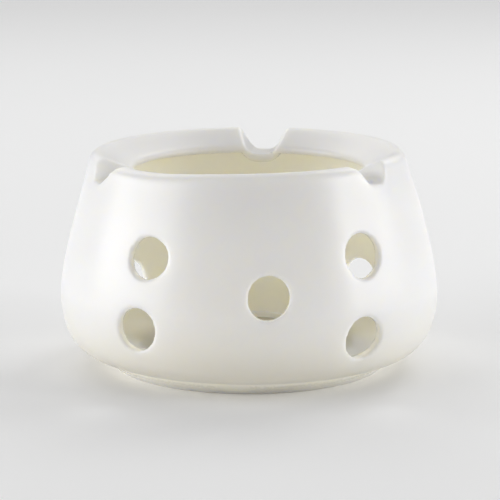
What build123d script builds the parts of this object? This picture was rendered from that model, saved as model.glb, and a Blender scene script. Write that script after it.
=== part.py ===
"""Porcelain teapot warmer with a tea light inside.

Frame: millimetres, +Z up, origin at the centre of the foot ring on the table, +Y towards the back notch.
Directions round the body are degrees from +X, anticlockwise seen from above.
"""
from build123d import *
import math
import os

os.makedirs("parts", exist_ok=True)

# Outside of the warmer, as radius and height
FOOT_FLAT_RADIUS = 48.2
FOOT_TOP_RADIUS = 52.4
FOOT_HEIGHT = 5.0
CREASE_RADIUS = 53.2
BELLY_RADIUS = 67.5
BELLY_HEIGHT = 26.5
UNDERSIDE_PULL = 6.5
LOWER_BELLY_PULL = 15.7
UPPER_BELLY_PULL = 13.0
SHOULDER_PULL = 8.5
SHOULDER_LEAN = 12.0

# Rim, pot seat and the lip at the seat's inner edge
RIM_TOP = 77.9
RIM_ROUND = 3.5
RIM_ROUND_RADIUS = 52.9
SEAT_SLOPE = 29.0
LIP_RADIUS = 41.0
LIP_ROUND = 1.5

# Inside
WALL = 3.0
FLOOR_HEIGHT = 4.0
FLOOR_FLAT_RADIUS = 38.0
FLOOR_CORNER_PULL = 12.0
INNER_BELLY_PULL = 16.0

# Recess under the foot
RECESS_DEPTH = 1.0
RECESS_RADIUS = 42.5
FOOT_INNER_RADIUS = 44.0

# Vent notches, cut by hand: direction, floor height, then the clockwise and the anticlockwise side.
# A side is the floor curve's pull, its half width at the top and the top curve's pull.
NOTCHES = (
    (90.0, 68.8, (4.9, 10.2, 3.0), (4.9, 10.2, 3.0)),
    (209.0, 69.0, (2.3, 7.0, 4.5), (3.5, 13.5, 1.5)),
    (327.0, 70.9, (5.2, 12.5, 6.5), (3.9, 7.8, 2.5)),
)
NOTCH_FLOOR_HALF_WIDTH = 1.5
NOTCH_TOP = 78.1
NOTCH_START = 35.0
NOTCH_REACH = 30.0
GUTTER_THICKNESS = 2.9
GUTTER_ROOM_HEIGHT = 60.0
GUTTER_ROOM_RADIUS = 59.8

# Air holes as direction and height, one group of five on the front and one on the back
AIR_HOLES = (
    (281.8, 37.2),
    (243.5, 48.4),
    (241.2, 24.2),
    (313.8, 48.7),
    (311.8, 21.3),
    (98.0, 37.3),
    (55.0, 48.6),
    (55.3, 20.7),
    (138.0, 48.6),
    (139.8, 20.7),
)
HOLE_DIAMETER = 14.4
HOLE_EDGE = 1.1

# Tea light
CUP_RADIUS = 19.0
CUP_BASE_RADIUS = 18.2
CUP_HEIGHT = 10.5
CUP_SHEET = 0.4
CUP_RIM_ROUND = 0.5
WAX_HEIGHT = 8.0
SUSTAINER_RADIUS = 6.0
SUSTAINER_SHEET = 0.3
NECK_RADIUS = 1.3
NECK_HEIGHT = 3.0
WICK_RADIUS = 0.8
WICK_HEIGHT = 12.4


def polar(centre, radius, degrees):
    """Point on a circle in the radius and height plane."""
    angle = math.radians(degrees)
    return (centre[0] + radius * math.cos(angle), centre[1] + radius * math.sin(angle))


# The pot seat falls inwards from the rim's round edge to the lip's round edge
SEAT_NORMAL = 90.0 + SEAT_SLOPE
SEAT_FALL = math.tan(math.radians(SEAT_SLOPE))
rim_centre = (RIM_ROUND_RADIUS, RIM_TOP - RIM_ROUND)
rim_outer = polar(rim_centre, RIM_ROUND, SHOULDER_LEAN)
rim_crown = polar(rim_centre, RIM_ROUND, (SHOULDER_LEAN + SEAT_NORMAL) / 2)
seat_outer = polar(rim_centre, RIM_ROUND, SEAT_NORMAL)
lip_run = polar((LIP_RADIUS + LIP_ROUND, 0), LIP_ROUND, SEAT_NORMAL)
lip_centre = (
    LIP_RADIUS + LIP_ROUND,
    seat_outer[1] - (seat_outer[0] - lip_run[0]) * SEAT_FALL - lip_run[1],
)
seat_inner = polar(lip_centre, LIP_ROUND, SEAT_NORMAL)
lip_nose = polar(lip_centre, LIP_ROUND, 180.0 + SEAT_SLOPE)
lip_under = polar(lip_centre, LIP_ROUND, 270.0 + SEAT_SLOPE)
under_seat_outer = (
    RIM_ROUND_RADIUS,
    lip_under[1] + (RIM_ROUND_RADIUS - lip_under[0]) * SEAT_FALL,
)
shoulder_handle = polar(rim_outer, SHOULDER_PULL, SHOULDER_LEAN - 90.0)
inner_shoulder_handle = polar(under_seat_outer, SHOULDER_PULL, SHOULDER_LEAN - 90.0)
inner_belly = (BELLY_RADIUS - WALL, BELLY_HEIGHT)


def across_notch(direction, floor, radius):
    """Plane across a notch at a radius: X anticlockwise, Y up from the notch's floor."""
    angle = math.radians(direction)
    return Plane(
        origin=(radius * math.cos(angle), radius * math.sin(angle), floor),
        x_dir=(-math.sin(angle), math.cos(angle), 0),
        z_dir=(math.cos(angle), math.sin(angle), 0),
    )


def notch_outline(clockwise, anticlockwise, depth, growth=0.0):
    """Closed outline of a notch, or of the gutter round it where it grows by the gutter's thickness."""
    curves = []
    for sign, (floor_pull, top_half_width, top_pull) in ((-1, clockwise), (1, anticlockwise)):
        curves.append(
            Bezier(
                (sign * NOTCH_FLOOR_HALF_WIDTH, -growth),
                (sign * (NOTCH_FLOOR_HALF_WIDTH + floor_pull + growth), -growth),
                (sign * (top_half_width - top_pull + growth), depth),
                (sign * (top_half_width + growth), depth),
            )
        )
    Line(curves[0] @ 0, curves[1] @ 0)
    Polyline(
        curves[0] @ 1,
        curves[0] @ 1 + Vector(0, depth),
        curves[1] @ 1 + Vector(0, depth),
        curves[1] @ 1,
    )


def seat_middle(radius):
    """Point halfway through the seat's thickness at a radius."""
    return (radius, lip_centre[1] + (radius - lip_centre[0]) * SEAT_FALL)


with BuildPart() as warmer_body:
    # A gutter round each notch carries the seat's thickness under it, ending inside the wall and the seat
    for direction, floor, clockwise, anticlockwise in NOTCHES:
        with BuildSketch(across_notch(direction, floor, lip_centre[0])):
            with BuildLine():
                notch_outline(clockwise, anticlockwise, NOTCH_TOP - floor, GUTTER_THICKNESS)
            make_face()
        extrude(amount=BELLY_RADIUS - lip_centre[0])
    with BuildSketch(Plane.XZ):
        with BuildLine():
            Polyline(
                (LIP_RADIUS, GUTTER_ROOM_HEIGHT),
                (GUTTER_ROOM_RADIUS, GUTTER_ROOM_HEIGHT),
                seat_middle(RIM_ROUND_RADIUS),
                seat_middle(LIP_RADIUS),
                close=True,
            )
        make_face()
    revolve(axis=Axis.Z, mode=Mode.INTERSECT)

    with BuildSketch(Plane.XZ):
        with BuildLine():
            Polyline(
                (0, FLOOR_HEIGHT),
                (0, RECESS_DEPTH),
                (RECESS_RADIUS, RECESS_DEPTH),
                (FOOT_INNER_RADIUS, 0),
                (FOOT_FLAT_RADIUS, 0),
                (FOOT_TOP_RADIUS, FOOT_HEIGHT),
                (CREASE_RADIUS, FOOT_HEIGHT),
            )
            Bezier(
                (CREASE_RADIUS, FOOT_HEIGHT),
                (CREASE_RADIUS + UNDERSIDE_PULL, FOOT_HEIGHT),
                (BELLY_RADIUS, BELLY_HEIGHT - LOWER_BELLY_PULL),
                (BELLY_RADIUS, BELLY_HEIGHT),
            )
            Bezier(
                (BELLY_RADIUS, BELLY_HEIGHT),
                (BELLY_RADIUS, BELLY_HEIGHT + UPPER_BELLY_PULL),
                shoulder_handle,
                rim_outer,
            )
            ThreePointArc(rim_outer, rim_crown, seat_outer)
            Line(seat_outer, seat_inner)
            ThreePointArc(seat_inner, lip_nose, lip_under)
            Line(lip_under, under_seat_outer)
            Bezier(
                under_seat_outer,
                inner_shoulder_handle,
                (inner_belly[0], BELLY_HEIGHT + UPPER_BELLY_PULL),
                inner_belly,
            )
            Bezier(
                inner_belly,
                (inner_belly[0], BELLY_HEIGHT - INNER_BELLY_PULL),
                (FLOOR_FLAT_RADIUS + FLOOR_CORNER_PULL, FLOOR_HEIGHT),
                (FLOOR_FLAT_RADIUS, FLOOR_HEIGHT),
            )
            Line((FLOOR_FLAT_RADIUS, FLOOR_HEIGHT), (0, FLOOR_HEIGHT))
        make_face()
    revolve(axis=Axis.Z)

    for direction, floor, clockwise, anticlockwise in NOTCHES:
        with BuildSketch(across_notch(direction, floor, NOTCH_START)):
            with BuildLine():
                notch_outline(clockwise, anticlockwise, NOTCH_TOP - floor)
            make_face()
        extrude(amount=NOTCH_REACH, mode=Mode.SUBTRACT)

    # Each hole goes straight through, and its outer edge is rounded
    for direction, height in AIR_HOLES:
        angle = math.radians(direction)
        with Locations(Plane(origin=(0, 0, height), z_dir=(math.cos(angle), math.sin(angle), 0))):
            Cylinder(
                HOLE_DIAMETER / 2,
                BELLY_RADIUS + WALL,
                align=(Align.CENTER, Align.CENTER, Align.MIN),
                mode=Mode.SUBTRACT,
            )
        outer_edge = edges(Select.LAST).sort_by_distance((0, 0, height))[-1]
        fillet(outer_edge, HOLE_EDGE)

warmer_body.part.label = "warmer_body"
export_step(warmer_body.part, "parts/warmer_body.step")

cup_top = FLOOR_HEIGHT + CUP_HEIGHT
wax_floor = FLOOR_HEIGHT + CUP_SHEET
wax_top = wax_floor + WAX_HEIGHT


def cup_wall_radius(height):
    """Outer radius of the cup's tapered wall at a height."""
    taper = (CUP_RADIUS - CUP_RIM_ROUND - CUP_BASE_RADIUS) / CUP_HEIGHT
    return CUP_BASE_RADIUS + taper * (height - FLOOR_HEIGHT)


with BuildPart() as tealight_cup:
    with BuildSketch(Plane.XZ):
        with BuildLine():
            Polyline(
                (0, FLOOR_HEIGHT),
                (cup_wall_radius(FLOOR_HEIGHT), FLOOR_HEIGHT),
                (cup_wall_radius(cup_top), cup_top),
                (cup_wall_radius(cup_top) - CUP_SHEET, cup_top),
                (cup_wall_radius(wax_floor) - CUP_SHEET, wax_floor),
                (0, wax_floor),
                close=True,
            )
        make_face()
        with Locations((CUP_RADIUS - CUP_RIM_ROUND, cup_top - CUP_RIM_ROUND)):
            Circle(CUP_RIM_ROUND)
    revolve(axis=Axis.Z)
tealight_cup.part.label = "tealight_cup"
export_step(tealight_cup.part, "parts/tealight_cup.step")

with BuildPart() as wick_sustainer:
    with Locations((0, 0, wax_floor)):
        Cylinder(SUSTAINER_RADIUS, SUSTAINER_SHEET, align=(Align.CENTER, Align.CENTER, Align.MIN))
        Cylinder(NECK_RADIUS, NECK_HEIGHT, align=(Align.CENTER, Align.CENTER, Align.MIN))
        Cylinder(
            WICK_RADIUS,
            NECK_HEIGHT,
            align=(Align.CENTER, Align.CENTER, Align.MIN),
            mode=Mode.SUBTRACT,
        )
wick_sustainer.part.label = "wick_sustainer"
export_step(wick_sustainer.part, "parts/wick_sustainer.step")

with BuildPart() as tealight_wick:
    with Locations((0, 0, wax_floor)):
        Cylinder(WICK_RADIUS, WICK_HEIGHT, align=(Align.CENTER, Align.CENTER, Align.MIN))
tealight_wick.part.label = "tealight_wick"
export_step(tealight_wick.part, "parts/tealight_wick.step")

with BuildPart() as tealight_wax:
    with BuildSketch(Plane.XZ):
        with BuildLine():
            Polyline(
                (WICK_RADIUS, wax_top),
                (WICK_RADIUS, wax_floor + NECK_HEIGHT),
                (NECK_RADIUS, wax_floor + NECK_HEIGHT),
                (NECK_RADIUS, wax_floor + SUSTAINER_SHEET),
                (SUSTAINER_RADIUS, wax_floor + SUSTAINER_SHEET),
                (SUSTAINER_RADIUS, wax_floor),
                (cup_wall_radius(wax_floor) - CUP_SHEET, wax_floor),
                (cup_wall_radius(wax_top) - CUP_SHEET, wax_top),
                close=True,
            )
        make_face()
    revolve(axis=Axis.Z)
tealight_wax.part.label = "tealight_wax"
export_step(tealight_wax.part, "parts/tealight_wax.step")
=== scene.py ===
"""Porcelain teapot warmer with a tea light: looks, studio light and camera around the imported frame.

Sizes are millimetres, turned into metres where a mesh is made. Heights are above the table.
"""
import math

import bpy
import numpy as np
from mathutils import Matrix, Vector


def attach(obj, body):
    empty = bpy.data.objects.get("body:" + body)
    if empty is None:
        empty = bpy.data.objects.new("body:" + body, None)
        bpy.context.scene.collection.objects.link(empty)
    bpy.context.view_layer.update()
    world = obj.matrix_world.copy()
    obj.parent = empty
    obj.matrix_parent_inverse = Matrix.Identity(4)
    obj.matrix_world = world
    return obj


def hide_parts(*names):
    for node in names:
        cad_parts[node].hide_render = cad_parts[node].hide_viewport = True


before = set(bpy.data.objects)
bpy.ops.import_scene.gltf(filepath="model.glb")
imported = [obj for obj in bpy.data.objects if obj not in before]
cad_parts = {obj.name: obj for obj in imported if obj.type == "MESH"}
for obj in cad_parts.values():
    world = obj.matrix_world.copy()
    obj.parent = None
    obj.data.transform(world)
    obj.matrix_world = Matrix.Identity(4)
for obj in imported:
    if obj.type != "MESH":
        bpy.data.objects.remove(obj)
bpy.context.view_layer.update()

MM = 0.001
TURN = 2 * math.pi

# Warmer, as in the CAD model
FOOT_FLAT_RADIUS = 48.2
FOOT_TOP_RADIUS = 52.4
FOOT_HEIGHT = 5.0
CREASE_RADIUS = 53.2
BELLY_RADIUS = 67.5
BELLY_HEIGHT = 26.5
UNDERSIDE_PULL = 6.5
LOWER_BELLY_PULL = 15.7
UPPER_BELLY_PULL = 13.0
SHOULDER_PULL = 8.5
SHOULDER_LEAN = 12.0
RIM_TOP = 77.9
RIM_ROUND = 3.5
RIM_ROUND_RADIUS = 52.9
SEAT_SLOPE = 29.0
LIP_RADIUS = 41.0
LIP_ROUND = 1.5
WALL = 3.0
FLOOR_HEIGHT = 4.0
FLOOR_FLAT_RADIUS = 38.0
FLOOR_CORNER_PULL = 12.0
INNER_BELLY_PULL = 16.0
RECESS_DEPTH = 1.0
RECESS_RADIUS = 42.5
FOOT_INNER_RADIUS = 44.0

# The real rim is a little out of true: it tilts, sits to one side, and dips at two places.
# A dip is its direction, its spread in degrees and its depth.
RIM_HIGH_DIRECTION = 20.0
RIM_TILT = 0.3
RIM_DIPS = ((233.0, 28.0, 1.6), (4.0, 12.0, 1.0))
RIM_SHIFT = Vector((-0.45, -0.05, 0.0))
RIM_SAG_FROM = 60.0
RIM_SAG_FULL = 75.0

# Notches: direction, floor height, then the clockwise and the anticlockwise side.
# A side is the floor curve's pull, its half width at the top and the top curve's pull.
NOTCHES = (
    (90.0, 68.8, (4.9, 10.2, 3.0), (4.9, 10.2, 3.0)),
    (209.0, 69.0, (2.3, 7.0, 4.5), (3.5, 13.5, 1.5)),
    (327.0, 70.9, (5.2, 12.5, 6.5), (3.9, 7.8, 2.5)),
)
NOTCH_FLOOR_HALF_WIDTH = 1.5
NOTCH_TOP = 78.1
NOTCH_START = 35.0
NOTCH_REACH = 30.0
GUTTER_THICKNESS = 2.9
GUTTER_ROOM_HEIGHT = 60.0
GUTTER_ROOM_RADIUS = 59.8

# Air holes: direction, height, width, height of the opening and tilt, as the cutter left them
HOLE_DIAMETER = 14.4
AIR_HOLES = (
    (281.8, 37.2, 14.1, 14.7, 0.0),
    (243.5, 48.4, 14.8, 14.0, -8.0),
    (241.2, 24.2, 15.0, 14.7, 14.0),
    (313.8, 48.7, 14.7, 14.8, 6.0),
    (311.8, 21.3, 14.6, 14.3, -10.0),
    (98.0, 37.3, 14.4, 14.4, 0.0),
    (55.0, 48.6, 14.5, 14.2, 5.0),
    (55.3, 20.7, 14.5, 14.4, -6.0),
    (138.0, 48.6, 14.3, 14.5, 8.0),
    (139.8, 20.7, 14.5, 14.2, 4.0),
)
HOLE_SQUEEZE = 0.02
HOLE_EGG = 0.012
HOLE_EDGE = 0.6
HOLE_EDGE_STEP = 15
HOLE_EDGE_PROUD = 0.05
HOLE_START = 20.0
HOLE_CLEARANCE = 5.0

# Mesh making
RING_SEGMENTS = 540
CUP_SEGMENTS = 360
WAX_SEGMENTS = 180
HOLE_SEGMENTS = 72
PROFILE_STEP = 0.9
ARC_STEPS = 6
LEAST_CURVE_STEPS = 4
SKIN_VOXEL = 0.8
SKIN_SHARE = 0.52
EDGE_SOFTENING = 6
EDGE_SOFTENING_FACTOR = 0.5


def polar(centre, radius, degrees):
    """Point on a circle in the radius and height plane."""
    angle = math.radians(degrees)
    return (centre[0] + radius * math.cos(angle), centre[1] + radius * math.sin(angle))


def line(start, end):
    """Points along a straight run, without its last one."""
    count = max(1, round(math.dist(start, end) / PROFILE_STEP))
    return [tuple(np.add(start, np.subtract(end, start) * i / count)) for i in range(count)]


def arc(centre, radius, start, end, count=ARC_STEPS):
    """Points along an arc from one angle to another, without its last one."""
    return [polar(centre, radius, start + (end - start) * i / count) for i in range(count)]


def bezier(p0, p1, p2, p3):
    """Points along a cubic curve, without its last one."""
    handles = (p0, p1, p2, p3)
    count = max(LEAST_CURVE_STEPS, round(math.dist(p0, p3) / PROFILE_STEP))
    points = []
    for i in range(count):
        t = i / count
        weights = ((1 - t) ** 3, 3 * (1 - t) ** 2 * t, 3 * (1 - t) * t * t, t ** 3)
        points.append(tuple(sum(w * p[k] for w, p in zip(weights, handles)) for k in (0, 1)))
    return points


SEAT_NORMAL = 90.0 + SEAT_SLOPE
SEAT_FALL = math.tan(math.radians(SEAT_SLOPE))
rim_centre = (RIM_ROUND_RADIUS, RIM_TOP - RIM_ROUND)
rim_outer = polar(rim_centre, RIM_ROUND, SHOULDER_LEAN)
seat_outer = polar(rim_centre, RIM_ROUND, SEAT_NORMAL)
lip_run = polar((LIP_RADIUS + LIP_ROUND, 0), LIP_ROUND, SEAT_NORMAL)
lip_centre = (
    LIP_RADIUS + LIP_ROUND,
    seat_outer[1] - (seat_outer[0] - lip_run[0]) * SEAT_FALL - lip_run[1],
)
lip_under = polar(lip_centre, LIP_ROUND, 270.0 + SEAT_SLOPE)
under_seat_outer = (
    RIM_ROUND_RADIUS,
    lip_under[1] + (RIM_ROUND_RADIUS - lip_under[0]) * SEAT_FALL,
)
shoulder_handle = polar(rim_outer, SHOULDER_PULL, SHOULDER_LEAN - 90.0)
inner_shoulder_handle = polar(under_seat_outer, SHOULDER_PULL, SHOULDER_LEAN - 90.0)
inner_belly = (BELLY_RADIUS - WALL, BELLY_HEIGHT)


def outer_wall():
    """The outside from the crease over the foot to the rim."""
    lower = bezier(
        (CREASE_RADIUS, FOOT_HEIGHT),
        (CREASE_RADIUS + UNDERSIDE_PULL, FOOT_HEIGHT),
        (BELLY_RADIUS, BELLY_HEIGHT - LOWER_BELLY_PULL),
        (BELLY_RADIUS, BELLY_HEIGHT),
    )
    upper = bezier(
        (BELLY_RADIUS, BELLY_HEIGHT),
        (BELLY_RADIUS, BELLY_HEIGHT + UPPER_BELLY_PULL),
        shoulder_handle,
        rim_outer,
    )
    return lower + upper


def warmer_section():
    """The whole section: from the axis under the foot, round the outside and back to the axis."""
    under = line((0, RECESS_DEPTH), (RECESS_RADIUS, RECESS_DEPTH))
    under += line((RECESS_RADIUS, RECESS_DEPTH), (FOOT_INNER_RADIUS, 0))
    under += line((FOOT_INNER_RADIUS, 0), (FOOT_FLAT_RADIUS, 0))
    under += line((FOOT_FLAT_RADIUS, 0), (FOOT_TOP_RADIUS, FOOT_HEIGHT))
    under += line((FOOT_TOP_RADIUS, FOOT_HEIGHT), (CREASE_RADIUS, FOOT_HEIGHT))
    rim = arc(rim_centre, RIM_ROUND, SHOULDER_LEAN, SEAT_NORMAL)
    seat = line(seat_outer, polar(lip_centre, LIP_ROUND, SEAT_NORMAL))
    lip = arc(lip_centre, LIP_ROUND, SEAT_NORMAL, 270.0 + SEAT_SLOPE)
    below_seat = line(lip_under, under_seat_outer)
    inside = bezier(
        under_seat_outer,
        inner_shoulder_handle,
        (inner_belly[0], BELLY_HEIGHT + UPPER_BELLY_PULL),
        inner_belly,
    )
    inside += bezier(
        inner_belly,
        (inner_belly[0], BELLY_HEIGHT - INNER_BELLY_PULL),
        (FLOOR_FLAT_RADIUS + FLOOR_CORNER_PULL, FLOOR_HEIGHT),
        (FLOOR_FLAT_RADIUS, FLOOR_HEIGHT),
    )
    floor = line((FLOOR_FLAT_RADIUS, FLOOR_HEIGHT), (0, FLOOR_HEIGHT)) + [(0, FLOOR_HEIGHT)]
    return under + outer_wall() + rim + seat + lip + below_seat + inside + floor


def new_piece(name, verts, faces, smooth=True):
    """Mesh object from millimetre points."""
    mesh = bpy.data.meshes.new(name)
    mesh.from_pydata([Vector(v) * MM for v in verts], [], faces)
    mesh.validate()
    if smooth:
        mesh.shade_smooth()
    piece = bpy.data.objects.new(name, mesh)
    bpy.context.collection.objects.link(piece)
    return piece


def revolved(name, section, segments=RING_SEGMENTS):
    """Closed surface of revolution. The section starts and ends on the axis."""
    rings = section[1:-1]
    verts = [(0, 0, section[0][1]), (0, 0, section[-1][1])]
    for radius, height in rings:
        for i in range(segments):
            angle = TURN * i / segments
            verts.append((radius * math.cos(angle), radius * math.sin(angle), height))
    faces = []
    for i in range(segments):
        j = (i + 1) % segments
        faces.append((0, 2 + j, 2 + i))
        for k in range(len(rings) - 1):
            low, high = 2 + k * segments, 2 + (k + 1) * segments
            faces.append((low + i, low + j, high + j, high + i))
        top = 2 + (len(rings) - 1) * segments
        faces.append((1, top + i, top + j))
    return new_piece(name, verts, faces)


def stacked(name, matrix, rings):
    """Closed shape through rings of points, given in the matrix's frame, with a cap on each end."""
    count = len(rings[0])
    last = (len(rings) - 1) * count
    verts = [matrix @ Vector(point) for ring in rings for point in ring]
    faces = [tuple(reversed(range(count))), tuple(range(last, last + count))]
    for low in range(0, last, count):
        for i in range(count):
            j = (i + 1) % count
            faces.append((low + i, low + j, low + count + j, low + count + i))
    return new_piece(name, verts, faces, smooth=False)


def prism(name, outline, matrix, start, end):
    """Closed prism: an outline in the matrix's XY plane, run along its Z from start to end."""
    return stacked(name, matrix, [[(x, y, z) for x, y in outline] for z in (start, end)])


def across(direction, height, radius):
    """Matrix that looks outwards along a direction: X anticlockwise, Y up, Z outwards."""
    angle = math.radians(direction)
    sideways = Vector((-math.sin(angle), math.cos(angle), 0))
    outward = Vector((math.cos(angle), math.sin(angle), 0))
    matrix = Matrix((sideways, Vector((0, 0, 1)), outward)).transposed().to_4x4()
    return Matrix.Translation(radius * outward + Vector((0, 0, height))) @ matrix


def notch_outline(clockwise, anticlockwise, depth, growth=0.0):
    """Outline of a notch, or of the gutter round it where it grows by the gutter's thickness."""
    sides = []
    for sign, (floor_pull, top_half_width, top_pull) in ((-1, clockwise), (1, anticlockwise)):
        side = bezier(
            (NOTCH_FLOOR_HALF_WIDTH, -growth),
            (NOTCH_FLOOR_HALF_WIDTH + floor_pull + growth, -growth),
            (top_half_width - top_pull + growth, depth),
            (top_half_width + growth, depth),
        )
        side.append((top_half_width + growth, depth))
        side.append((top_half_width + growth, 2 * depth))
        sides.append([(sign * x, y) for x, y in side])
    return sides[1] + sides[0][::-1]


def sag_rim(body):
    """Move the rim to where the real one is, fading out down the wall and towards the lip."""
    for vertex in body.data.vertices:
        point = vertex.co / MM
        radius = math.hypot(point.x, point.y)
        share = min(1, max(0, (point.z - RIM_SAG_FROM) / (RIM_SAG_FULL - RIM_SAG_FROM)))
        share *= min(1, max(0, (radius - lip_centre[0]) / (RIM_ROUND_RADIUS - lip_centre[0])))
        direction = math.degrees(math.atan2(point.y, point.x))
        sag = RIM_TILT * (1 - math.cos(math.radians(direction - RIM_HIGH_DIRECTION)))
        for dip_direction, spread, depth in RIM_DIPS:
            away = (direction - dip_direction + 180) % 360 - 180
            sag += depth * math.exp(-(away / spread) ** 2)
        vertex.co += share * (RIM_SHIFT - Vector((0, 0, sag))) * MM


def seat_middle(radius):
    """Point halfway through the seat's thickness at a radius."""
    return (radius, lip_centre[1] + (radius - lip_centre[0]) * SEAT_FALL)


def hole_outline(width, height, tilt):
    """Slightly egg-shaped outline of a hole cut by hand."""
    points = []
    turn = math.radians(tilt)
    for i in range(HOLE_SEGMENTS):
        angle = TURN * i / HOLE_SEGMENTS
        bulge = 1 + HOLE_SQUEEZE * math.sin(2 * angle + turn) + HOLE_EGG * math.cos(3 * angle)
        x = width / 2 * bulge * math.cos(angle)
        y = height / 2 * bulge * math.sin(angle)
        points.append((
            x * math.cos(turn) - y * math.sin(turn),
            x * math.sin(turn) + y * math.cos(turn),
        ))
    return points


def hole_tool(direction, height, width, tall, tilt):
    """Cutter of an air hole: straight through the wall, then flared for the rounded edge."""
    wall = outer_wall()
    heights = [point[1] for point in wall]
    radii = [point[0] for point in wall]

    def ring(growth, out):
        """Outline grown by a length, laid on the wall and moved outwards."""
        scale = 1 + growth / (HOLE_DIAMETER / 2)
        points = []
        for x, y in hole_outline(width * scale, tall * scale, tilt):
            radius = np.interp(height + y, heights, radii)
            points.append((x, y, math.sqrt(radius ** 2 - x ** 2) + out))
        return points

    rings = [[(x, y, HOLE_START) for x, y in hole_outline(width, tall, tilt)]]
    for degrees in range(0, 90, HOLE_EDGE_STEP):
        angle = math.radians(degrees)
        rings.append(ring(HOLE_EDGE * (1 - math.cos(angle)), HOLE_EDGE * (math.sin(angle) - 1)))
    rings.append(ring(HOLE_EDGE, HOLE_EDGE_PROUD))
    rings.append(ring(HOLE_EDGE, HOLE_CLEARANCE))
    return stacked("hole_tool", across(direction, height, 0), rings)


def apply_modifiers(piece):
    """Turn the piece's modifiers into mesh."""
    depsgraph = bpy.context.evaluated_depsgraph_get()
    mesh = bpy.data.meshes.new_from_object(piece.evaluated_get(depsgraph))
    piece.modifiers.clear()
    old = piece.data
    piece.data = mesh
    bpy.data.meshes.remove(old)


def combine(piece, tools, operation):
    """Join the tools to the piece, or cut them out of it, and delete them."""
    for tool in tools:
        step = piece.modifiers.new(tool.name, "BOOLEAN")
        step.operation = operation
        step.solver = "EXACT"
        step.object = tool
    apply_modifiers(piece)
    for tool in tools:
        bpy.data.objects.remove(tool)


def clipped_gutter(direction, floor, clockwise, anticlockwise):
    """Gutter round a notch from the lip outwards, ending inside the wall and the seat."""
    outline = notch_outline(clockwise, anticlockwise, NOTCH_TOP - floor, GUTTER_THICKNESS)
    matrix = across(direction, floor, lip_centre[0])
    gutter = prism("gutter", outline, matrix, 0, BELLY_RADIUS - lip_centre[0])
    room_top = seat_middle(LIP_RADIUS)
    room = revolved("gutter_room", [
        (0, GUTTER_ROOM_HEIGHT),
        (GUTTER_ROOM_RADIUS, GUTTER_ROOM_HEIGHT),
        seat_middle(RIM_ROUND_RADIUS),
        room_top,
        (0, room_top[1]),
    ])
    combine(gutter, [room], "INTERSECT")
    return gutter


def warmer_skin():
    """The whole porcelain body with soft glazed edges."""
    body = revolved("porcelain_body", warmer_section())
    sag_rim(body)
    combine(body, [clipped_gutter(*notch) for notch in NOTCHES], "UNION")
    tools = []
    for direction, floor, clockwise, anticlockwise in NOTCHES:
        outline = notch_outline(clockwise, anticlockwise, NOTCH_TOP - floor)
        matrix = across(direction, floor, NOTCH_START)
        tools.append(prism("notch_tool", outline, matrix, 0, NOTCH_REACH))
    tools += [hole_tool(*hole) for hole in AIR_HOLES]
    combine(body, tools, "DIFFERENCE")

    # An even skin, laid back on the exact shape, then softened where edges are sharp
    exact = body.copy()
    exact.data = body.data.copy()
    bpy.context.collection.objects.link(exact)
    skin = body.modifiers.new("skin", "REMESH")
    skin.mode = "VOXEL"
    skin.voxel_size = SKIN_VOXEL * MM
    snap = body.modifiers.new("snap", "SHRINKWRAP")
    snap.target = exact
    soften = body.modifiers.new("soften", "SMOOTH")
    soften.factor = EDGE_SOFTENING_FACTOR
    soften.iterations = EDGE_SOFTENING
    thin = body.modifiers.new("thin", "DECIMATE")
    thin.ratio = SKIN_SHARE
    apply_modifiers(body)
    bpy.data.objects.remove(exact)
    body.data.shade_smooth()
    return body


# Tea light, as in the CAD model
CUP_RADIUS = 19.0
CUP_BASE_RADIUS = 18.2
CUP_HEIGHT = 10.5
CUP_SHEET = 0.4
CUP_RIM_ROUND = 0.5
CUP_BASE_ROUND = 0.8
CUP_BASE_STEPS = 5
CUP_ROLL_REACH = 1.2
CUP_ROLL_START = -60.0
CUP_ROLL_STEPS = 10
CUP_PLEATS = 60
CUP_PLEAT_RADIUS = 17.88
CUP_PLEAT_DEPTH = 0.12
CUP_PLEAT_FULL = 1.0
CUP_PLEAT_FADE = 6.0
WAX_HEIGHT = 8.0
WAX_GAP = 0.05
WAX_BED = 0.3
WAX_BASE_RADIUS = 17.2
WAX_DISH = 0.35
WAX_CLING_REACH = 0.8
WAX_CLIMB = 0.5
WAX_CLIMB_REACH = 0.7
WAX_RINGS = 40
WICK_RADIUS = 0.8
WICK_HEIGHT = 12.4
WICK_BED = 0.4
WICK_STRANDS = 3
WICK_STRAND_RADIUS = 0.42
WICK_STRAND_SIDES = 10
WICK_STEPS = 60
WICK_PITCH = 4.2

# Shares of the wick's height above which it leans, its strands draw together and they thin
WICK_LEAN_FROM = 0.6
WICK_LEAN = Vector((0.27, 0.18, 0.0))
WICK_TIP_FROM = 0.93
WICK_TIP_DRAW = 0.35
WICK_BLUNT_FROM = 0.97
WICK_BLUNT = 0.7

cup_top = FLOOR_HEIGHT + CUP_HEIGHT
wax_floor = FLOOR_HEIGHT + CUP_SHEET
wax_top = wax_floor + WAX_HEIGHT


def cup_wall_radius(height):
    """Outer radius of the cup's tapered wall at a height."""
    taper = (CUP_RADIUS - CUP_RIM_ROUND - CUP_BASE_RADIUS) / CUP_HEIGHT
    return CUP_BASE_RADIUS + taper * (height - FLOOR_HEIGHT)


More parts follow.
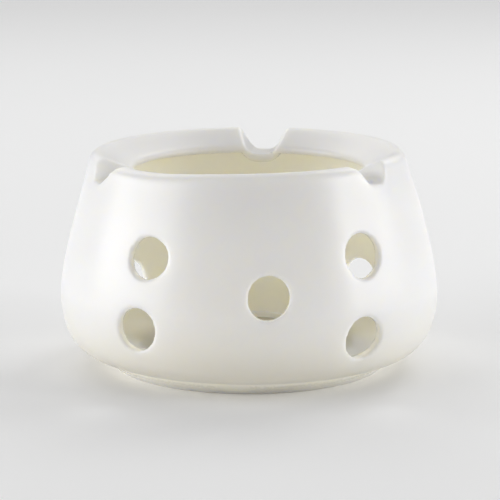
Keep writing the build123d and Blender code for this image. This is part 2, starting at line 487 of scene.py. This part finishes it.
def foil_cup():
    """Drawn foil cup with a rolled rim, a rounded base and fine pleats low on its wall."""
    base = CUP_BASE_RADIUS - CUP_BASE_ROUND
    section = line((0, FLOOR_HEIGHT), (base, FLOOR_HEIGHT))
    base_centre = (base, FLOOR_HEIGHT + CUP_BASE_ROUND)
    section += arc(base_centre, CUP_BASE_ROUND, -90, 0, CUP_BASE_STEPS)
    roll_centre = (CUP_RADIUS - CUP_RIM_ROUND, cup_top - CUP_RIM_ROUND)
    section += line(
        (CUP_BASE_RADIUS, FLOOR_HEIGHT + CUP_BASE_ROUND),
        (roll_centre[0], cup_top - CUP_ROLL_REACH),
    )
    section += arc(roll_centre, CUP_RIM_ROUND, CUP_ROLL_START, 180, CUP_ROLL_STEPS)
    inner_top = (cup_wall_radius(cup_top) - CUP_SHEET, cup_top - 2 * CUP_RIM_ROUND)
    section += line(inner_top, (base, wax_floor))
    section += line((base, wax_floor), (0, wax_floor)) + [(0, wax_floor)]
    cup = revolved("foil_cup", section, CUP_SEGMENTS)
    for vertex in cup.data.vertices:
        point = vertex.co / MM
        radius = math.hypot(point.x, point.y)
        low = 1 - min(1, max(0, (point.z - FLOOR_HEIGHT - CUP_PLEAT_FULL) / CUP_PLEAT_FADE))
        if radius > CUP_PLEAT_RADIUS:
            angle = math.atan2(point.y, point.x)
            pull = CUP_PLEAT_DEPTH * low * (0.5 + 0.5 * math.cos(CUP_PLEATS * angle))
            vertex.co.x -= pull * math.cos(angle) * MM
            vertex.co.y -= pull * math.sin(angle) * MM
    return cup


def wax_fill():
    """Cast wax: it clings to the cup's wall, dips a little in the middle and rises up the wick."""
    edge = cup_wall_radius(wax_top) - CUP_SHEET - WAX_GAP
    section = line((0, wax_floor + WAX_BED), (WAX_BASE_RADIUS, wax_floor + WAX_BED))
    section += line((WAX_BASE_RADIUS, wax_floor + WAX_BED), (edge, wax_top))
    for i in range(WAX_RINGS):
        radius = edge - (edge - WICK_RADIUS) * i / WAX_RINGS
        cling = WAX_DISH * math.exp(-(edge - radius) / WAX_CLING_REACH)
        climb = WAX_CLIMB * math.exp(-(radius - WICK_RADIUS) / WAX_CLIMB_REACH)
        dip = WAX_DISH * (1 - (radius / edge) ** 2)
        section.append((radius, wax_top - WAX_DISH + cling + climb - dip))
    section.append((WICK_RADIUS / 2, section[-1][1]))
    section.append((0, section[-1][1]))
    return revolved("wax_fill", section, WAX_SEGMENTS)


def braided_wick():
    """Waxed cotton strands plaited round each other, with a blunt tip that leans a little."""
    verts = []
    faces = []
    sides = WICK_STRAND_SIDES
    foot = wax_floor + WICK_BED
    for strand in range(WICK_STRANDS):
        start = len(verts)
        for k in range(WICK_STEPS + 1):
            rise = k / WICK_STEPS
            turn = TURN * (WICK_HEIGHT * rise / WICK_PITCH + strand / WICK_STRANDS)
            lean = (max(0, rise - WICK_LEAN_FROM) / (1 - WICK_LEAN_FROM)) ** 2
            draw = WICK_TIP_DRAW * max(0, rise - WICK_TIP_FROM) / (1 - WICK_TIP_FROM)
            away = (WICK_RADIUS - WICK_STRAND_RADIUS) * (1 - draw)
            centre = lean * WICK_LEAN + Vector((away * math.cos(turn), away * math.sin(turn), 0))
            thick = WICK_STRAND_RADIUS * (1 if rise < WICK_BLUNT_FROM else WICK_BLUNT)
            for side in range(sides):
                angle = TURN * side / sides
                verts.append((
                    centre.x + thick * math.cos(angle),
                    centre.y + thick * math.sin(angle),
                    foot + (WICK_HEIGHT - WICK_BED) * rise,
                ))
        for k in range(WICK_STEPS):
            low = start + k * sides
            for side in range(sides):
                j = (side + 1) % sides
                faces.append((low + side, low + j, low + sides + j, low + sides + side))
        faces.append(tuple(start + side for side in reversed(range(sides))))
        faces.append(tuple(start + WICK_STEPS * sides + side for side in range(sides)))
    return new_piece("braided_wick", verts, faces)


# Materials. Each pair is where a mark on the porcelain starts and where it is full.
INSIDE_DEPTH = (0.6, 1.4)
INSIDE_UNDER_SEAT = (0.8, 2.0)
INSIDE_ABOVE_FLOOR = (2.5, 3.5)
NOTCH_HEIGHT = (66.0, 68.0)
TURNED_IN = (0.1, 0.5)
GLAZED_FROM = (0.3, 0.9)
# Painted shade: from 30 mm down to 5 mm above the table the outer glaze turns a darker grey, standing
# in for the shade under the belly.
PAINTED_SHADE_FROM = 5.0
PAINTED_SHADE_TO = 30.0
PAINTED_FOOT_SHADE = (0.68, 0.665, 0.615, 1)
WHITE_GLAZES = ((0.855, 0.845, 0.825, 1), (0.875, 0.868, 0.85, 1))
# The inside is cream and painted lighter than the outer glaze, standing in for the light that the
# thin wall and the openings let in.
CREAM_GLAZES_PAINTED_LIGHTER = ((0.95, 0.915, 0.815, 1), (0.965, 0.935, 0.84, 1))
BISQUES = ((0.80, 0.77, 0.70, 1), (0.88, 0.86, 0.80, 1))


class Nodes:
    """Short way to build one material's node tree."""

    def __init__(self, name):
        self.material = bpy.data.materials.new(name)
        self.material.use_nodes = True
        self.tree = self.material.node_tree
        self.shader = self.tree.nodes["Principled BSDF"]
        self.place = self.tree.nodes.new("ShaderNodeTexCoord").outputs["Object"]

    def add(self, kind, **inputs):
        """New node with its inputs linked to sockets or set to values."""
        node = self.tree.nodes.new(kind)
        for key, value in inputs.items():
            self.feed(node.inputs[key.replace("_", " ")], value)
        return node

    def feed(self, socket, value):
        """Link a socket to another one, or set its value."""
        if isinstance(value, bpy.types.NodeSocket):
            self.tree.links.new(value, socket)
        else:
            socket.default_value = value

    def noise(self, scale, detail=2.0, place=None):
        """Soft noise from 0 to 1, on the object's own place unless another is given."""
        node = self.add("ShaderNodeTexNoise", Scale=scale, Detail=detail)
        self.feed(node.inputs["Vector"], place or self.place)
        return node.outputs["Fac"]

    def ramp(self, value, low, high, from_low=0.0, from_high=1.0):
        """Map a value to another range, held at its ends."""
        node = self.tree.nodes.new("ShaderNodeMapRange")
        for key, number in zip((0, 1, 2, 3, 4), (value, from_low, from_high, low, high)):
            self.feed(node.inputs[key], number)
        return node.outputs["Result"]

    def mix(self, amount, first, second):
        """Mix two colours."""
        node = self.tree.nodes.new("ShaderNodeMix")
        node.data_type = "RGBA"
        self.feed(node.inputs["Factor"], amount)
        self.feed(node.inputs["A"], first)
        self.feed(node.inputs["B"], second)
        return node.outputs["Result"]

    def paint(self, amount, first, second):
        """Give the shader a colour mixed from two."""
        self.feed(self.shader.inputs["Base Color"], self.mix(amount, first, second))

    def math(self, operation, first, second):
        """Work out a number from two others."""
        node = self.tree.nodes.new("ShaderNodeMath")
        node.operation = operation
        self.feed(node.inputs[0], first)
        self.feed(node.inputs[1], second)
        return node.outputs["Value"]

    def bump(self, height, distance, strength):
        """Give the shader a fine relief."""
        node = self.add("ShaderNodeBump", Height=height, Distance=distance, Strength=strength)
        self.feed(self.shader.inputs["Normal"], node.outputs["Normal"])


def vertex_values(body, name):
    """A vector of every point of the body, as rows."""
    values = np.empty(len(body.data.vertices) * 3)
    body.data.vertices.foreach_get(name, values)
    return values.reshape(-1, 3)


def fade(values, limits):
    """Map values to 0 at the first limit and 1 at the second, held beyond them."""
    start, end = limits
    return np.clip((values - start) / (end - start), 0, 1)


def mark_inside(body):
    """Store how far each point belongs to the inside and to the bare foot ring, from 0 to 1."""
    wall = outer_wall()
    x, y, z = (vertex_values(body, "co") / MM).T
    normal_x, normal_y, normal_z = vertex_values(body, "normal").T
    radius = np.hypot(x, y)
    depth = np.interp(z, [height for _, height in wall], [reach for reach, _ in wall]) - radius
    seat = lip_centre[1] + (radius - lip_centre[0]) * SEAT_FALL
    outwards = (x * normal_x + y * normal_y) / np.maximum(radius, 1)
    in_notch = fade(z, NOTCH_HEIGHT) * (1 - fade(-np.minimum(outwards, normal_z), TURNED_IN))
    inside = fade(depth, INSIDE_DEPTH) * fade(seat - z, INSIDE_UNDER_SEAT)
    inside *= fade(z, INSIDE_ABOVE_FLOOR) * (1 - in_notch)
    bare = (1 - fade(z, GLAZED_FROM)) * (radius > RECESS_RADIUS)
    for name, values in (("inside", inside), ("bare", bare)):
        layer = body.data.attributes.new(name, "FLOAT", "POINT")
        layer.data.foreach_set("value", values.astype(np.float32))


def porcelain():
    """White glaze: creamy inside and painted lighter there, with painted shade greying it towards the
    foot, bare and matt under it.
    """
    n = Nodes("white_porcelain_glaze")
    inside = n.add("ShaderNodeAttribute")
    inside.attribute_name = "inside"
    bare = n.add("ShaderNodeAttribute")
    bare.attribute_name = "bare"
    cloud = n.ramp(n.noise(28.0, 3.0), 0, 1, 0.35, 0.65)
    outer = n.mix(cloud, *WHITE_GLAZES)
    # Painted shade towards the foot: the outer glaze is mixed with a darker grey low on the body.
    height = n.add("ShaderNodeSeparateXYZ", Vector=n.place).outputs["Z"]
    low = n.ramp(height, 1, 0, PAINTED_SHADE_FROM * MM, PAINTED_SHADE_TO * MM)
    outer = n.mix(low, outer, PAINTED_FOOT_SHADE)
    # Cream inside with painted light: lighter than the outer glaze.
    inner = n.mix(cloud, *CREAM_GLAZES_PAINTED_LIGHTER)
    glazed = n.mix(inside.outputs["Fac"], outer, inner)
    bisque = n.mix(n.noise(2400.0), *BISQUES)
    n.paint(bare.outputs["Fac"], glazed, bisque)
    pooled = n.ramp(n.noise(90.0), 0.30, 0.36, 0.3, 0.7)
    sheen = n.ramp(inside.outputs["Fac"], pooled, 0.1)
    matt = n.math("MULTIPLY", bare.outputs["Fac"], 0.55)
    n.feed(n.shader.inputs["Roughness"], n.math("ADD", sheen, matt))
    n.shader.inputs["IOR"].default_value = 1.5
    n.shader.inputs["Subsurface Weight"].default_value = 1.0
    n.shader.inputs["Subsurface Radius"].default_value = (1.0, 0.9, 0.65)
    n.shader.inputs["Subsurface Scale"].default_value = 0.010
    ripple = n.math("MULTIPLY", n.noise(38.0, 1.0), 0.7)
    pores = n.math("MULTIPLY", n.noise(700.0, 1.0), 0.02)
    n.bump(n.math("ADD", ripple, pores), 0.00025, 0.5)
    return n.material


def foil():
    """Satin drawn aluminium."""
    n = Nodes("drawn_aluminium_foil")
    drawn = n.tree.nodes.new("ShaderNodeMapping")
    drawn.inputs["Scale"].default_value = (1.0, 1.0, 0.04)
    n.feed(drawn.inputs["Vector"], n.place)
    streak = n.noise(1500.0, place=drawn.outputs["Vector"])
    n.paint(streak, (0.92, 0.92, 0.92, 1), (0.96, 0.96, 0.955, 1))
    n.shader.inputs["Metallic"].default_value = 1.0
    n.feed(n.shader.inputs["Roughness"], n.ramp(streak, 0.42, 0.55, 0.3, 0.7))
    n.bump(n.noise(300.0), 0.0001, 0.35)
    return n.material


def wax():
    """Ivory wax with a soft bloom."""
    n = Nodes("ivory_wax")
    bloom = n.noise(140.0, 3.0)
    n.paint(bloom, (0.88, 0.84, 0.71, 1), (0.92, 0.89, 0.78, 1))
    n.feed(n.shader.inputs["Roughness"], n.ramp(bloom, 0.32, 0.5, 0.3, 0.7))
    n.shader.inputs["Subsurface Weight"].default_value = 0.35
    n.shader.inputs["Subsurface Radius"].default_value = (1.0, 0.7, 0.4)
    n.shader.inputs["Subsurface Scale"].default_value = 0.003
    n.bump(n.noise(260.0), 0.0002, 0.3)
    return n.material


def cotton():
    """Waxed cotton of a wick that was never lit."""
    n = Nodes("waxed_cotton")
    fibre = n.noise(3500.0, 3.0)
    n.paint(fibre, (0.78, 0.74, 0.62, 1), (0.93, 0.91, 0.84, 1))
    n.feed(n.shader.inputs["Roughness"], n.ramp(fibre, 0.6, 0.9))
    n.bump(fibre, 0.00015, 0.6)
    return n.material


def stamped_steel():
    """Thin tinned steel of the wick's foot."""
    n = Nodes("stamped_steel")
    grain = n.noise(900.0)
    n.paint(grain, (0.55, 0.55, 0.56, 1), (0.68, 0.68, 0.68, 1))
    n.shader.inputs["Metallic"].default_value = 1.0
    n.feed(n.shader.inputs["Roughness"], n.ramp(grain, 0.3, 0.45))
    return n.material


def dress(piece, material, body, node):
    """Give a piece its material and let it stand for its CAD node."""
    piece.data.materials.clear()
    piece.data.materials.append(material)
    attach(piece, body)
    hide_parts(node)


body_skin = warmer_skin()
mark_inside(body_skin)
dress(body_skin, porcelain(), "warmer", "warmer_body")
dress(foil_cup(), foil(), "tea_light", "tealight_cup")
dress(wax_fill(), wax(), "tea_light", "tealight_wax")
dress(braided_wick(), cotton(), "tea_light", "tealight_wick")
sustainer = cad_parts["wick_sustainer"]
for slot in sustainer.material_slots:
    slot.material = stamped_steel()


# Studio: a pale floor, soft lights at the sides and behind, and an even white surround.
# A light is its azimuth from the camera's side, to the right positive, its elevation in degrees,
# its distance, its width and height in metres, and its watts.
SOFT_LIGHTS = {
    "left_softbox": (-77, 15, 1.4, (1.5, 0.7), 14.0),
    "right_softbox": (88, 15, 1.4, (0.9, 0.7), 7.0),
    "right_strip": (67, 14, 1.4, (0.25, 0.7), 4.0),
    "back_left_softbox": (-150, 45, 1.4, (0.7, 0.7), 1.8),
    "back_right_softbox": (140, 45, 1.4, (0.7, 0.7), 3.6),
    "backdrop_light": (180, 32, 2.7, (3.5, 2.0), 17.0),
}
LIGHT_AIM = Vector((0, 0, 0.04))
SURROUND_STRENGTH = 0.26
FLOOR_SPREAD = 8.0
CAMERA_DISTANCE = 877.5
CAMERA_HEIGHT = 214.65
CAMERA_TILT = 11.2
CAMERA_TURN = 6.0
CAMERA_ASIDE = 0.34
CAMERA_CLIP_START = 0.01
LENS = 179.7


def pale_floor():
    """Plain floor that fills the view."""
    mesh = bpy.data.meshes.new("studio_floor")
    signs = ((-1, -1), (1, -1), (1, 1), (-1, 1))
    corners = [(x * FLOOR_SPREAD, y * FLOOR_SPREAD, 0) for x, y in signs]
    mesh.from_pydata(corners, [], [(0, 1, 2, 3)])
    floor = bpy.data.objects.new("studio_floor", mesh)
    bpy.context.collection.objects.link(floor)
    n = Nodes("pale_floor")
    n.paint(n.noise(3.0), (0.95, 0.95, 0.95, 1), (0.965, 0.965, 0.965, 1))
    n.shader.inputs["Roughness"].default_value = 0.9
    mesh.materials.append(n.material)


def soft_light(name, azimuth, elevation, distance, size, watts):
    """Soft box aimed at the warmer."""
    around = math.radians(CAMERA_TURN - 90 + azimuth)
    rise = math.radians(elevation)
    place = Vector((
        distance * math.cos(rise) * math.cos(around),
        distance * math.cos(rise) * math.sin(around),
        distance * math.sin(rise),
    ))
    lamp = bpy.data.lights.new(name, "AREA")
    lamp.shape = "RECTANGLE"
    lamp.size, lamp.size_y = size
    lamp.energy = watts
    light = bpy.data.objects.new(name, lamp)
    light.location = place
    light.rotation_euler = (LIGHT_AIM - place).to_track_quat("-Z", "Y").to_euler()
    bpy.context.collection.objects.link(light)


def white_surround():
    """Even white light from all round."""
    world = bpy.data.worlds.new("white_surround")
    world.use_nodes = True
    background = world.node_tree.nodes["Background"]
    background.inputs["Color"].default_value = (1, 1, 1, 1)
    background.inputs["Strength"].default_value = SURROUND_STRENGTH
    bpy.context.scene.world = world


def studio_camera():
    """Long lens from the front, a little from above."""
    turn = math.radians(CAMERA_TURN)
    data = bpy.data.cameras.new("camera")
    data.lens = LENS
    data.clip_start = CAMERA_CLIP_START
    camera = bpy.data.objects.new("camera", data)
    camera.location = Vector((
        CAMERA_DISTANCE * math.sin(turn) + CAMERA_ASIDE * math.cos(turn),
        -CAMERA_DISTANCE * math.cos(turn) + CAMERA_ASIDE * math.sin(turn),
        CAMERA_HEIGHT,
    )) * MM
    camera.rotation_euler = (math.radians(90 - CAMERA_TILT), 0, turn)
    bpy.context.collection.objects.link(camera)
    bpy.context.scene.camera = camera


pale_floor()
for name, light in SOFT_LIGHTS.items():
    soft_light(name, *light)
white_surround()
studio_camera()
bpy.context.scene.view_settings.view_transform = "Standard"
bpy.context.scene.cycles.diffuse_bounces = 12
